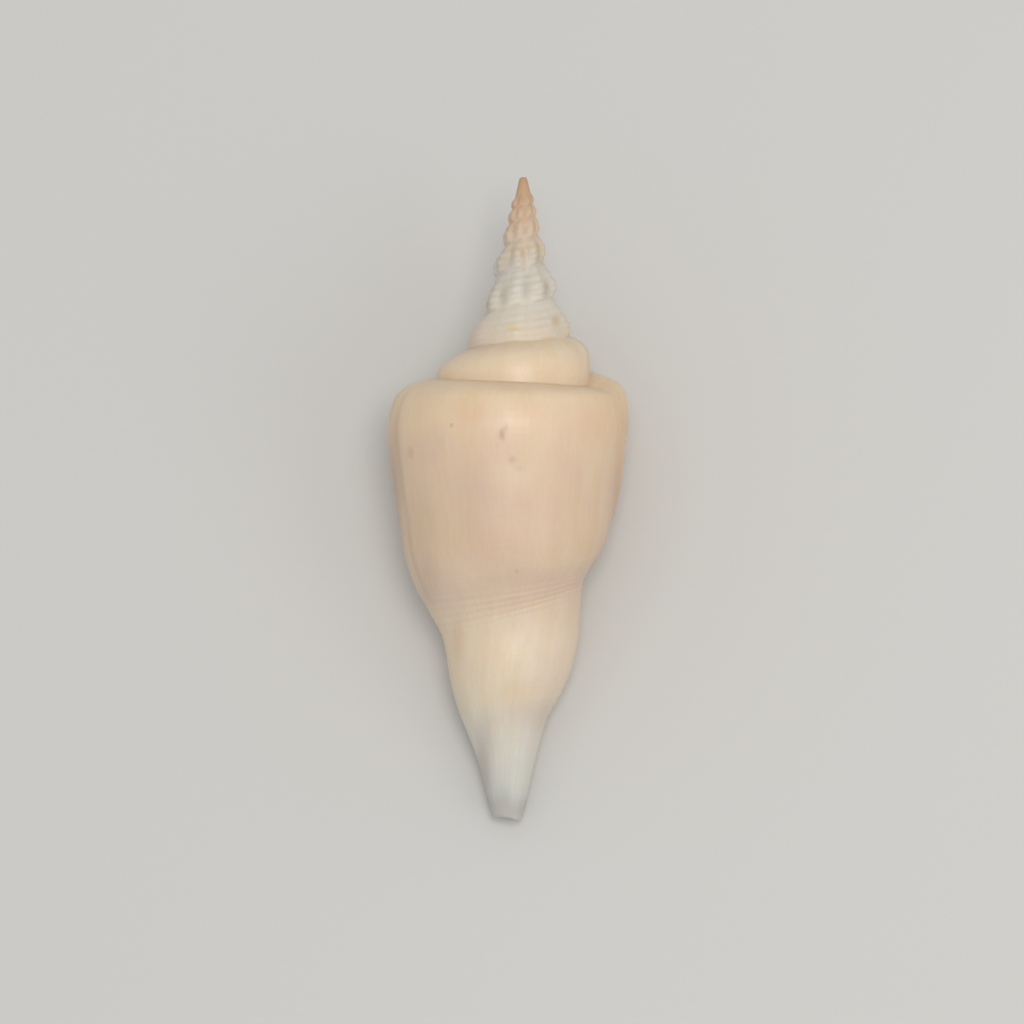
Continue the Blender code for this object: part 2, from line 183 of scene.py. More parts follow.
@dataclass(frozen=True)
class Coil:
    """The coiling of the shell and the outlines of its last whorl, in turns and millimetres."""

    lip: float = 0.63
    spire_turns: int = 7
    attach: float = 3.0
    last: int = 18
    canal_shift: float = -1.80
    spire_lean: float = 0.22
    slot_narrowing: float = 3.0
    suture_reach: float = 3.0
    suture_line: tuple[tuple[float, float, float], ...] = (
        (-7.37, 0.66, 33.8), (-7, 0.79, 33.3), (-6, 1.0, 32.1), (-5, 1.29, 30.8),
        (-4, 1.59, 28.8), (-3, 2.23, 25.9), (-2, 3.32, 22.0), (-1.5, 3.97, 19.9),
        (-1, 5.18, 17.7), (-0.5, 5.88, 16.1), (-0.25, 6.64, 14.7), (0, 7.41, 12.8),
        (0.1, 7.68, 12.2), (0.25, 8.28, 12.5), (0.5, 9.2, 13.1), (0.63, 9.58, 13.3),
    )
    outline_start: Curve = (
        (6.32, 15.4), (7.84, 15.0), (8.93, 14.4), (9.58, 13.3), (9.91, 10.7), (9.69, 7.2),
        (8.82, 3.6), (7.51, 0.4), (6.32, -2.3), (5.34, -5.1), (4.79, -8.0), (4.57, -11.1),
        (4.36, -14.9), (3.92, -17.8), (3.48, -20.9), (2.94, -24.1), (2.29, -27.9),
        (1.74, -31.7), (1.31, -34.9),
    )
    outline_right: Curve = (
        (7.41, 12.8), (8.45, 12.35), (9.62, 11.8), (10.58, 10.9), (11.0, 8.8), (10.68, 5.3),
        (10.13, 0.9), (9.68, -2.3), (8.78, -5.1), (7.38, -7.4), (6.75, -9.3), (6.86, -12.1),
        (7.1, -15.4), (6.93, -18.1), (6.14, -20.9), (4.6, -24.1), (3.48, -27.9),
        (2.62, -31.7), (1.93, -34.9),
    )
    outline_left: Curve = (
        (9.2, 13.1), (10.89, 12.8), (12.52, 12.2), (13.83, 10.9), (14.65, 7.2), (14.16, 3.1),
        (13.38, -2.3), (12.72, -6.3), (11.57, -9.4), (9.6, -12.4), (7.8, -15.1),
        (7.07, -17.0), (6.45, -19.2), (5.7, -21.4), (4.88, -23.6), (3.9, -26.0),
        (2.86, -28.8), (1.98, -32.1), (1.42, -34.9),
    )
    outline_lip: Curve = (
        (9.58, 13.3), (11.22, 13.0), (12.74, 12.4), (13.94, 11.2), (14.59, 7.5), (14.16, 3.3),
        (13.29, -1.9), (12.41, -6.3), (11.22, -9.7), (9.15, -12.8), (7.3, -15.6),
        (6.53, -17.6), (5.88, -19.8), (5.12, -21.9), (4.36, -24.1), (3.48, -26.5),
        (2.61, -29.2), (1.91, -32.3), (1.42, -34.9),
    )

    @property
    def start(self) -> float:
        """Turn at which the last whorl starts, one before the lip."""
        return self.lip - 1.0

    @property
    def first(self) -> float:
        """Turn at which the coiled strip starts, under the crown."""
        return self.start - self.spire_turns

    def suture(self, n: Array) -> tuple[Array, Array]:
        """Radius and height of the suture at the turns n, on a smooth curve through its points."""
        table = np.array(self.suture_line)
        both = curve_through(n, table[:, 0], table[:, 1:])
        return both[..., 0], both[..., 1]

    def outline(self, n: Array, t: Array) -> tuple[Array, Array]:
        """Radius and height of the last whorl: outlines blended along n, then read along t.

        Args:
            n: Turns.
            t: Stations, broadcast with n.

        Returns:
            Radii and heights. The first stations are drawn to the suture's height. Past the lip
            the radius shrinks towards the slot of the canal.
        """
        n, t = np.broadcast_arrays(n, t)
        flat_n, flat_t = n.reshape(-1), t.reshape(-1)
        knots = np.array([self.start, 0.0, 0.5, self.lip])
        tables = np.array([self.outline_start, self.outline_right, self.outline_left,
                           self.outline_lip])
        values = np.moveaxis(curve_through(flat_n, knots, tables), 1, 0)
        slopes = curve_slopes(np.arange(self.last + 1.0), values)
        i, at = np.clip(flat_t.astype(int), 0, self.last - 1), np.arange(flat_t.size)
        pick = (values[i, at], values[i + 1, at], slopes[i, at], slopes[i + 1, at])
        both = cubic((flat_t - i)[:, None], 1.0, *pick)
        drawn = self.suture(flat_n)[1] - values[0, :, 1]
        drawn = drawn * (1.0 - ease(flat_t / self.suture_reach))
        r = both[:, 0] * (1.0 - self.slot_narrowing * np.clip(flat_n - self.lip, 0.0, 1.0))
        return r.reshape(n.shape), (both[:, 1] + drawn).reshape(n.shape)

    def place(self, n: Array, r: Array, y: Array) -> Array:
        """Turns, radii and heights to points: the circle of radius r about a slowly shifting axis.

        Args:
            n: Turns.
            r: Radii in millimetres.
            y: Heights in millimetres.

        Returns:
            Points in metres on the shell's own axes, with the coordinates last.
        """
        angle = TURN * n
        lean = self.spire_lean * np.clip((y - 21.6) / 13.1, 0.0, 1.0)
        centre = self.canal_shift * ease((-6.7 - y) / 17.4) + lean
        return np.stack([centre + r * np.cos(angle), y, r * np.sin(angle)], axis=-1) * MM


@dataclass(frozen=True)
class Sculpture:
    """Ribs, cords, callus and growth marks that stand out of the coiled strip, in millimetres."""

    ribs_per_turn: int = 8
    rib_phase: float = 0.272
    cord_spacing: float = 0.84
    cord_height: float = 0.10
    grown_fullness: float = 2.4
    whorl_form: tuple[tuple[float, float, float, float, float], ...] = (
        (-7.37, 1.6, 1.0, 0.04, 0.17), (-4.5, 1.3, 1.0, 0.05, 0.18),
        (-3.8, 1.0, 1.15, 0.08, 0.18), (-3.0, 1.0, 1.5, 0.10, 0.15),
        (-2.5, 1.0, 1.6, 0.05, 0.09), (-2.0, 1.0, 1.6, 0.05, 0.07),
        (-1.5, 2.3, 1.2, 0.0, 0.02), (-1.0, 5.0, 1.0, 0.0, 0.0),
        (-0.5, 2.4, 1.0, 0.0, 0.0), (-0.37, 2.4, 1.0, 0.0, 0.0),
    )
    callus_line: Curve = (
        (0.0, 1.0), (0.55, 1.0), (0.75, 0.9), (0.75, 0.55), (0.65, 0.1), (0.6, 0.0),
        (0.55, 0.0), (0.5, 0.0), (0.45, 0.0), (0.3, 0.0), (0.1, 0.0),
    )
    callus_pad: float = 0.35
    callus_edge: float = 0.026
    edge_turns: tuple[float, float] = (0.055, -0.025)
    edge_stations: tuple[float, float] = (4.5, 8.0)
    band_start: float = 9.1
    band_slant: float = 1.3
    band_cords_per_station: float = 3.3
    band_height: float = 0.028
    low_cords_per_station: float = 3.2
    low_cord_height: float = 0.03
    growth_height: float = 0.005
    scar_depth: float = 0.07
    scar_turn: float = 0.442
    broken_line: Curve = (
        (-0.4, 0.45), (-0.25, 0.45), (-0.1, 0.38), (0.0, 0.22), (0.08, 0.02), (0.12, 0.0),
        (0.16, 0.08), (0.2, 0.28), (0.24, 0.41), (0.3, 0.42), (0.375, 0.31), (0.42, 0.28),
        (0.5, 0.28), (0.6, 0.45),
    )

    def ribs(self, n: Array) -> Array:
        """Rounded ribs along the turns: a cosine wave lifted to run from 0 to 1."""
        return 0.5 + 0.5 * np.cos(TURN * (self.ribs_per_turn * n - self.rib_phase))

    def growth(self, n: Array, t: Array) -> Array:
        """Growth lines: three sines along the turns that slant with the station, all below 0."""
        wave = (np.sin(n * 211.0 + 0.4 * t) + 0.6 * np.sin(n * 293.0 + 1.3 + 0.3 * t)
                + 0.9 * np.sin(n * 97.0 - 0.5 * t))
        return self.growth_height * (wave - 2.5)

    def whorl(self, coil: Coil, n: Array, u: Array) -> tuple[Array, Array]:
        """Radius and height of a spire whorl: an arch between its sutures, ribbed and corded.

        The table whorl_form gives, at a turn, the fullness under the suture, the sag of the bulge
        towards the lower suture, and the heights of bulge and ribs as shares of the radius. Where
        the callus climbs the whorl, the whorl ends at its edge.

        Args:
            coil: The coiling that gives the sutures.
            n: Turns, (rows, columns).
            u: Way down the whorl from 0 to 1, broadcast to n.

        Returns:
            Radii and heights, (rows, columns).
        """
        r0, y0 = coil.suture(n)
        r1, y1 = coil.suture(n + 1.0)
        y1 = y1 + self.callus(coil, n + 1.0, np.zeros(n.shape))[1]
        form = np.array(self.whorl_form)
        fullness, sag, bulge, rib_height = np.moveaxis(curve_through(n, form[:, 0], form[:, 1:]), -1, 0)
        arch = np.abs(np.sin(math.pi * u ** sag))
        ribs = self.ribs(n)
        ribbed = 1.0 - ease((n + 2.1) / 0.8)
        cords = -np.cos(TURN * (y0 - y1) * u / self.cord_spacing)
        small = np.clip(r1 / 3.3, 0.0, 1.0)
        corded = (0.2 + 0.8 * ribbed) * ease((n + 6.0) / 2.0) * small
        corded = corded * (1.0 - ease((n + 1.35) / 0.5))
        r = r0 + (r1 - r0) * (1.0 - (1.0 - u) ** fullness)
        r = r + r1 * (bulge * arch + rib_height * ribs * arch ** 0.8)
        r = r + self.cord_height * corded * cords * arch ** 0.5 * (0.4 + 0.6 * ribs)
        r = r + self.growth(n, 3.0 * u) * ease((n + 1.7) / 0.6) * arch ** 0.5
        return r, y0 + (y1 - y0) * u

    def callus(self, coil: Coil, n: Array, t: Array) -> tuple[Array, Array]:
        """Outward and upward growth of the glaze over the under side of the last whorl.

        Args:
            coil: The coiling that gives the start of the last whorl.
            n: Turns, (rows, columns).
            t: Stations, the same shape.

        Returns:
            Growth of the radius and of the height.
        """
        table = np.vstack([self.callus_line, np.zeros((coil.last + 1 - len(self.callus_line), 2))])
        both = curve_through(t, np.arange(coil.last + 1.0), table)
        (upper, lower), (start, end) = self.edge_turns, self.edge_stations
        edge = upper + (lower - upper) * ease((t - start) / (end - start))
        mask = ease((n - coil.start) / 0.12)
        mask = mask * (1.0 - ease((n - edge + 0.5 * self.callus_edge) / self.callus_edge))
        pad = self.callus_pad * hump(n, -0.17, 0.06) * hump(t, 4.6, 1.6)
        return (both[..., 0] + pad) * mask, both[..., 1] * mask

    def relief(self, n: Array, t: Array) -> Array:
        """Fine relief of the last whorl, all of it cut in.

        Args:
            n: Turns, (rows, columns).
            t: Stations, the same shape.

        Returns:
            Outward growth: growth lines off the callus, a groove along an old lip, and two sets
            of spiral cords, sines of t, at the whorl's foot and on the neck of the canal.
        """
        free = ease((n - 0.06) / 0.08) * ease(t) * (1.0 - ease((t - 16.5) / 1.5))
        near_lip = 1.0 + 0.6 * ease((n - 0.36) / 0.1)
        scar = -self.scar_depth * hump(n, self.scar_turn, 0.006) * ease((t - 2.0) / 1.5)
        scar = scar * (1.0 - ease((t - 7.5) / 2.0))
        along = t + self.band_slant * n - self.band_start
        band = self.band_height * (np.sin(TURN * self.band_cords_per_station * along) - 1.0)
        band = band * ease((along + 0.3) / 0.5) * (1.0 - 0.9 * ease((along - 1.3) / 0.6))
        low = self.low_cord_height * (np.sin(TURN * self.low_cords_per_station * t) - 1.0)
        low = low * ease((t - 12.8) / 0.6) * (1.0 - ease((t - 15.2) / 1.0))
        low = low * (0.2 + 0.8 * hump(n, 0.02, 0.16))
        return self.growth(n, t) * free * near_lip + scar + band + low

    def broken_edge(self, n: Array, t: Array) -> Array:
        """Height lost at the canal's broken end: a curve of n, faded in down the last station."""
        line = np.array(self.broken_line)
        around = np.mod(n + 0.4, 1.0) - 0.4
        return curve_through(around, line[:, 0], line[:, 1]) * ease((t - 17.0) / 1.0)


@dataclass(frozen=True)
class Hollow:
    """The wall, the aperture and the canal's channel, in millimetres and turns."""

    wall_body: float = 1.25
    wall_canal: float = 0.55
    depth_body: float = 0.62
    depth_canal: float = 0.24
    taper: float = 1.55
    canal_floor: float = 0.35
    columns: int = 36

    def wall_inside(self, coil: Coil, n: Array, t: Array) -> tuple[Array, Array]:
        """Inner side of the wall: the outline moved in along its normal by the wall's thickness.

        Args:
            coil: The coiling.
            n: Turns.
            t: Stations, the same shape.

        Returns:
            Radii and heights in that shape.
        """
        thick = self.wall_body + (self.wall_canal - self.wall_body) * ease((t - 8.0) / 9.0)
        r, y = coil.outline(n, t)
        ra, ya = coil.outline(n, np.clip(t - 0.05, 0.0, coil.last))
        rb, yb = coil.outline(n, np.clip(t + 0.05, 0.0, coil.last))
        dr, dy = rb - ra, yb - ya
        length = np.hypot(dr, dy)
        return r + thick * dy / length, y - thick * dr / length

    def sheets(self, coil: Coil, start: Array, lip_n: Array) -> tuple[Array, Array]:
        """The hollow's two sheets, the wall's inner side and the columella's side.

        Each row leaves the lip, runs back inside the wall, closes on a rounded fold and returns
        along the columella. The way back is the sine of an angle that goes over a quarter wave,
        and the gap between the sheets shrinks as its cosine.

        Args:
            coil: The coiling.
            start: Turn, radius and height of the columella's edge, (rows, 3).
            lip_n: Turn of the lip at each row.

        Returns:
            Wall and columella sheets as turn, radius, height and station, (rows, columns, 4).
        """
        fine = np.linspace(1.7, coil.last, 600)
        wall_r, wall_y = self.wall_inside(coil, np.full(fine.shape, coil.lip), fine)
        chain = np.stack([np.append(start[0, 1], wall_r), np.append(start[0, 2], wall_y)], axis=-1)
        length = lengths_along(chain)
        even = np.linspace(0.0, length[-1], len(start))
        t = np.interp(even, length, np.append(1.7, fine))
        reach = np.clip(even / length[1], 0.0, 1.0)
        canal = ease((t - 9.0) / 4.0)
        fold_n = lip_n - (self.depth_body + (self.depth_canal - self.depth_body) * canal)
        fold_y = (1.0 - reach) * start[:, 2] + reach * self.wall_inside(coil, fold_n, t)[1]
        angle = 0.5 * math.pi * np.arange(self.columns + 1) / self.columns
        way, gap = np.sin(angle)[None, :], np.cos(angle)[None, :]
        start_n, start_r, start_y = (start[:, k:k + 1] for k in range(3))
        floor = 1.0 + (self.canal_floor - 1.0) * canal[:, None]
        in_n = start_n + (fold_n[:, None] - start_n) * way
        back = start_n - in_n
        in_r = start_r * (floor + (1.0 - floor) * np.exp(-(back / 0.06) ** 2)) * self.taper ** -back
        in_y = start_y + (fold_y[:, None] - start_y) * ease(way)
        out_n = lip_n[:, None] + (fold_n - lip_n)[:, None] * way
        stations = np.broadcast_to(t[:, None], out_n.shape)
        out_r, out_y = self.wall_inside(coil, out_n, stations)
        out_r = in_r + reach[:, None] * (out_r - in_r) * gap
        out_y = in_y + reach[:, None] * (out_y - in_y) * gap
        wall = np.stack([out_n, out_r, out_y, stations], axis=-1)
        return wall, np.stack([in_n, in_r, in_y, stations], axis=-1)


@dataclass
class StripMesh:
    """Collects points, faces and the values that the material reads at each face corner."""

    points: list[Array] = field(default_factory=list)
    faces: list[tuple[Array, Array]] = field(default_factory=list)
    count: int = 0

    def add_points(self, points: Array) -> Array:
        """Adds points (..., 3) and gives their numbers in the shape (...)."""
        flat = points.reshape(-1, 3)
        numbers = self.count + np.arange(len(flat))
        self.points.append(flat)
        self.count += len(flat)
        return numbers.reshape(points.shape[:-1])

    def all_points(self) -> Array:
        """Gives every point so far, (count, 3)."""
        return np.concatenate(self.points)

    def add_grid(self, numbers: Array, values: Array) -> None:
        """Adds the quads of a grid, and a triangle where two neighbours are one point.

        Args:
            numbers: Point numbers, (rows, columns).
            values: Turn, station and side at each grid point, (rows, columns, 3).
        """
        corners = ((slice(0, -1), slice(0, -1)), (slice(0, -1), slice(1, None)),
                   (slice(1, None), slice(1, None)), (slice(1, None), slice(0, -1)))
        ids = np.stack([numbers[c] for c in corners], axis=-1).reshape(-1, 4)
        data = np.stack([values[c] for c in corners], axis=-2).reshape(-1, 4, 3)
        whole = (ids != np.roll(ids, 1, axis=1)).all(axis=1)
        self.faces.append((ids[whole], data[whole]))
        for k in range(4):
            thin = ids[:, k] == ids[:, (k + 1) % 4]
            keep = [c for c in range(4) if c != k]
            self.faces.append((ids[thin][:, keep], data[thin][:, keep]))

    def add_triangles(self, ids: Array, values: Array) -> None:
        """Adds triangles (count, 3) that all carry the same turn, station and side."""
        self.faces.append((ids, np.broadcast_to(values, ids.shape + (3,))))

    def add_band(self, first: Array, second: Array, values: Array) -> None:
        """Adds triangles between two chains of points, merged by their share of the length.

        Args:
            first: Point numbers of one chain.
            second: Point numbers of the other chain, in the same direction.
            values: Turn, station and side of the whole band.
        """
        points = self.all_points()
        shares = [lengths_along(points[c]) / lengths_along(points[c])[-1] for c in (first, second)]
        order = np.argsort(np.concatenate([shares[0][1:], shares[1][1:]]), kind="stable")
        on_first = order < len(first) - 1
        i, j = np.cumsum(on_first), np.cumsum(~on_first)
        before_i, before_j = i - on_first, j - ~on_first
        third = np.where(on_first, first[i], second[j])
        ids = np.stack([first[before_i], second[before_j], third], axis=-1)
        whole = (ids != np.roll(ids, 1, axis=1)).all(axis=1)
        self.add_triangles(ids[whole], values)

    def to_object(self, name: str, points: Array, local: Array) -> bpy.types.Object:
        """Writes the mesh and the values that its material reads.

        Args:
            name: Name of the object and its mesh.
            points: Final places of the points in metres.
            local: The same points in millimetres on the shell's own axes.

        Returns:
            The linked object at the origin, closed and with its faces outwards.
        """
        used = [(ids, data) for ids, data in self.faces if len(ids)]
        sizes = np.concatenate([np.full(len(ids), ids.shape[1]) for ids, _ in used])
        loops = np.concatenate([ids.reshape(-1) for ids, _ in used])
        values = np.concatenate([data.reshape(-1, 3) for _, data in used])
        kept, loops = np.unique(loops, return_inverse=True)
        mesh = bpy.data.meshes.new(name)
        mesh.vertices.add(len(kept))
        mesh.vertices.foreach_set("co", points[kept].astype(np.float32).reshape(-1))
        mesh.loops.add(len(loops))
        mesh.loops.foreach_set("vertex_index", loops.astype(np.int32))
        mesh.polygons.add(len(sizes))
        starts = np.concatenate([[0], np.cumsum(sizes)[:-1]])
        mesh.polygons.foreach_set("loop_start", starts.astype(np.int32))
        mesh.update(calc_edges=True)
        growth = mesh.attributes.new("growth", "FLOAT_VECTOR", "CORNER")
        growth.data.foreach_set("vector", values.astype(np.float32).reshape(-1))
        own = mesh.attributes.new("own_mm", "FLOAT_VECTOR", "POINT")
        own.data.foreach_set("vector", local[kept].astype(np.float32).reshape(-1))
        work = bmesh.new()
        work.from_mesh(mesh)
        bmesh.ops.recalc_face_normals(work, faces=work.faces)
        work.to_mesh(mesh)
        work.free()
        mesh.shade_smooth()
        mesh.set_sharp_from_angle(angle=math.radians(60.0))
        made = bpy.data.objects.new(name, mesh)
        bpy.context.scene.collection.objects.link(made)
        return made


def linear(colour: str) -> tuple[float, float, float, float]:
    """Turns an sRGB hex colour into linear red, green and blue, and an alpha of 1."""
    parts = [int(colour[k:k + 2], 16) / 255.0 for k in (1, 3, 5)]
    light = [p / 12.92 if p <= 0.04045 else ((p + 0.055) / 1.055) ** 2.4 for p in parts]
    return (light[0], light[1], light[2], 1.0)


def add_node(tree: Tree, kind: str, *inputs: Any, stops: Stops = (),
             **settings: Any) -> Node:
    """Adds a node with its settings and links.

    Args:
        tree: The material's node tree.
        kind: Blender's name of the node type after "ShaderNode".
        inputs: One entry per enabled input, in the node's own order: a value, a socket to link
            from, a node whose first enabled output is linked, or None to leave it as it is.
        stops: Places from 0 to 1 and hex colours of a colour ramp.
        settings: Properties of the node.

    Returns:
        The new node.
    """
    node = tree.nodes.new("ShaderNode" + kind)
    for name, value in settings.items():
        setattr(node, name, value)
    for socket, value in zip([s for s in node.inputs if s.enabled], inputs):
        if isinstance(value, Node):
            value = next(s for s in value.outputs if s.enabled)
        if isinstance(value, Socket):
            tree.links.new(value, socket)
        elif value is not None:
            socket.default_value = value
    for k, (at, colour) in enumerate(stops):
        ramp = node.color_ramp.elements
        stop = ramp[k] if k < 2 else ramp.new(at)
        stop.position, stop.color = at, linear(colour)
    return node


def zone(tree: Tree, *edges: tuple[Any, float, float], strength: float = 1.0) -> Node:
    """Mask of a zone of the surface: the product of smooth changes from outside to inside.

    Args:
        tree: The material's node tree.
        edges: A value, the place where it is outside and the place where it is inside.
        strength: The mask's value inside.

    Returns:
        The node that gives the mask.
    """
    mask: Any = strength
    for value, outside, inside in edges:
        edge = add_node(tree, "MapRange", value, outside, inside, interpolation_type="SMOOTHSTEP")
        mask = add_node(tree, "Math", mask, edge, operation="MULTIPLY")
    return mask


@dataclass(frozen=True)
class Places:
    """What the finish reads at a point: its growth, and its place on the shell's own axes in mm."""

    turn: Socket
    station: Socket
    side: Socket
    along: Socket
    up: Socket
    own: Socket

    @classmethod
    def read(cls, tree: Tree) -> "Places":
        """Reads the mesh's two attributes and splits them."""
        growth = add_node(tree, "Attribute", attribute_name="growth").outputs["Vector"]
        own = add_node(tree, "Attribute", attribute_name="own_mm").outputs["Vector"]
        return cls(*add_node(tree, "SeparateXYZ", growth).outputs,
                   *add_node(tree, "SeparateXYZ", own).outputs[1:], own)


@dataclass(frozen=True)
class StainAndShade:
    """A soft oval of another tone on the shell's back, used both for real stains and for painted shade:
    place and reach on its own axes in mm.
    """

    x: float
    y: float
    wide: float
    high: float
    colour: str
    strength: float

    def lay(self, tree: Tree, at: Places, colour: Node) -> Node:
        """Lays the oval over a colour: full in its middle, gone at its reach, only on the back."""
        away = add_node(tree, "VectorMath", at.own, (self.x, self.y, 0.0), operation="SUBTRACT")
        away = add_node(tree, "VectorMath", away, (1.0 / self.wide, 1.0 / self.high, 0.0),
                        operation="MULTIPLY")
        away = add_node(tree, "VectorMath", away, operation="LENGTH")
        mask = zone(tree, (away, 1.25, 0.1), (at.up, 0.0, 1.0), strength=self.strength)
        return add_node(tree, "Mix", mask, colour, linear(self.colour), data_type="RGBA")


@dataclass(frozen=True)
class ShellFinish:
    """Weathered aragonite, as grown: satin cream, chalky where the young shell has worn."""

    young_colours: Stops = (
        (16.5, "#DBCDBC"), (18.5, "#DAD0C0"), (20.5, "#DAD5CB"), (25.0, "#CFCAC3"),
        (27.0, "#CFC3B1"), (29.2, "#D3C0AA"), (31.0, "#D1B99E"), (33.0, "#C7A889"),
        (34.8, "#BF9A7A"),
    )
    grown_colours: Stops = (
        (-35.0, "#9E9B97"), (-33.6, "#B6B8B5"), (-32.0, "#CACDCA"), (-28.0, "#D4D3CC"),
        (-24.5, "#D7D1C4"), (-20.0, "#E0D2BD"), (-15.5, "#E4D4BC"), (-11.0, "#DBC8B2"),
        (-5.0, "#D9C1A8"), (2.0, "#DCC4AB"), (8.0, "#E5CDB0"), (14.0, "#E7D4B7"),
        (18.0, "#E0D0B7"),
    )
    patches: tuple[StainAndShade, ...] = (
        StainAndShade(-5.6, 9.4, 3.2, 2.0, "#E3C09B", 0.40), StainAndShade(1.0, 9.2, 2.6, 1.8, "#E8C7A4", 0.35),
        StainAndShade(8.2, 8.4, 2.8, 3.4, "#DFB896", 0.40), StainAndShade(-9.1, 5.7, 2.6, 2.8, "#CFB5A3", 0.30),
        StainAndShade(-5.6, 1.6, 3.2, 3.2, "#D1B8A6", 0.40), StainAndShade(-3.9, -0.9, 3.4, 4.2, "#D5BEAB", 0.35),
        StainAndShade(-10.6, -2.8, 2.0, 5.0, "#CFB892", 0.40), StainAndShade(-6.7, -3.4, 2.8, 3.4, "#D2BA96", 0.40),
        StainAndShade(-0.9, 2.4, 3.4, 1.8, "#E3CFB6", 0.40), StainAndShade(-10.2, -9.0, 1.8, 3.4, "#C3A691", 0.35),
        StainAndShade(1.0, -8.4, 5.5, 1.5, "#D1B6A3", 0.35), StainAndShade(4.9, 2.6, 2.8, 2.0, "#DABEA9", 0.40),
        StainAndShade(0.2, -11.3, 4.5, 1.4, "#DEC2AC", 0.40), StainAndShade(4.5, -9.5, 3.2, 1.6, "#DBBAAB", 0.38),
        StainAndShade(-2.6, -16.7, 1.6, 2.6, "#E4C4A9", 0.30), StainAndShade(-6.9, -15.2, 0.8, 2.4, "#D3B08F", 0.35),
        StainAndShade(-0.5, -21.2, 4.5, 2.0, "#DFC6A1", 0.35), StainAndShade(2.1, -23.5, 2.4, 2.0, "#C3B9A7", 0.35),
        # The long dark oval on the canal's left side, at x -4.1, is painted shade
        StainAndShade(-2.1, -32.7, 1.5, 2.0, "#A9AAA4", 0.35), StainAndShade(-4.1, -29.5, 1.2, 7.0, "#989084", 0.42),
        # The two long ovals at the left and right edges of the back are painted shade where the surface
        # turns from the light
        StainAndShade(-13.8, 0.0, 1.1, 12.0, "#AF9680", 0.50), StainAndShade(11.8, 4.0, 0.8, 8.0, "#BA9E80", 0.45),
    )
    specks: tuple[StainAndShade, ...] = (
        StainAndShade(-2.1, 6.8, 0.40, 0.85, "#AF8169", 0.50), StainAndShade(-1.7, 7.5, 0.35, 0.70, "#B48A74", 0.25),
        StainAndShade(-1.0, 4.1, 0.60, 0.60, "#B39C84", 0.40), StainAndShade(-0.2, 3.2, 0.90, 0.45, "#BFA58D", 0.25),
        StainAndShade(-7.5, 7.8, 0.28, 0.30, "#A98C5E", 0.40), StainAndShade(-11.9, 4.9, 0.45, 0.90, "#B0946F", 0.30),
        StainAndShade(-0.5, -7.8, 0.32, 0.30, "#B0957C", 0.40), StainAndShade(-0.9, 18.4, 1.00, 0.45, "#D6B768", 0.45),
        StainAndShade(3.7, 19.3, 0.60, 0.70, "#C6A75C", 0.50), StainAndShade(0.1, 26.6, 0.40, 0.70, "#C49259", 0.40),
        StainAndShade(0.2, 25.2, 0.40, 0.80, "#C6A680", 0.35), StainAndShade(-1.8, 25.5, 0.55, 1.50, "#B3A08A", 0.35),
        StainAndShade(1.9, 25.9, 0.50, 1.20, "#B8A58C", 0.30), StainAndShade(-1.2, 30.0, 0.50, 1.30, "#C4946B", 0.35),
        StainAndShade(0.35, 30.6, 0.35, 1.00, "#C6946B", 0.35), StainAndShade(0.0, 32.4, 0.30, 0.60, "#B98A61", 0.30),
        # The grey ovals on this line and the next sit between ribs: partly real stain, partly painted
        # shade in the gaps
        StainAndShade(-2.0, 21.9, 0.55, 1.90, "#ADA48F", 0.38), StainAndShade(0.5, 22.7, 0.70, 1.70, "#AFA997", 0.38),
        StainAndShade(2.7, 22.6, 0.55, 1.40, "#A8A28E", 0.34), StainAndShade(-3.7, 21.0, 0.40, 1.60, "#A19D8E", 0.35),
    )
    rim_colour: str = "#E2D2BA"
    broken_colour: str = "#B9B5AC"
    inside_colour: str = "#ECE2D1"
    painted_shade_colour: str = "#A4835F"
    warm_gap_colour: str = "#B98E5F"
    grey_gap_stain_and_shade_colour: str = "#ACA593"
    roughness: float = 0.40
    polish: float = 0.22
    clouds_per_mm: float = 0.16
    gap_patches_per_mm: float = 0.9
    grain_per_mm: float = 5.0
    bands_per_turn: float = 24.0
    hairs_per_band: float = 7.0
    striae_per_station: float = 4.3
    relief_height: float = 0.08

    def aged(self, tree: Tree, at: Places) -> Node:
        """Gives the base colour by height: a ramp for the young whorls and one for the grown ones,
        greyer and darker towards the canal's tip.
        """
        tones = []
        for colours in (self.young_colours, self.grown_colours):
            low, high = colours[0][0], colours[-1][0]
            share = add_node(tree, "MapRange", at.along, low, high)
            stops = tuple(((place - low) / (high - low), colour) for place, colour in colours)
            tones.append(add_node(tree, "ValToRGB", share, stops=stops))
        return add_node(tree, "Mix", zone(tree, (at.turn, -1.5, -0.85)), *tones, data_type="RGBA")

    def stained_and_shaded_gaps(self, tree: Tree, at: Places, sculpture: Sculpture,
                     colour: Node) -> Node:
        """Darkens the rib gaps, with a warm stain on early whorls and a grey of stain and painted shade
        on later ones.

        Args:
            tree: The material's node tree.
            at: Places on the surface.
            sculpture: The ribs.
            colour: The colour so far.

        Returns:
            The colour with its gaps darkened in patches about 1 mm wide.
        """
        wave = add_node(tree, "Math", at.turn, sculpture.ribs_per_turn, -sculpture.rib_phase,
                        operation="MULTIPLY_ADD")
        wave = add_node(tree, "Math", wave, TURN, operation="MULTIPLY")
        wave = add_node(tree, "Math", wave, operation="COSINE")
        patchy = add_node(tree, "TexNoise", at.own, self.gap_patches_per_mm, 2.0)
        gap = ((wave, -0.1, -1.0), (at.station, 0.3, 1.0), (at.station, 2.75, 2.2),
               (patchy, 0.38, 0.62))
        warm = zone(tree, *gap, (at.turn, -6.5, -5.0), (at.turn, -3.0, -3.5), strength=0.32)
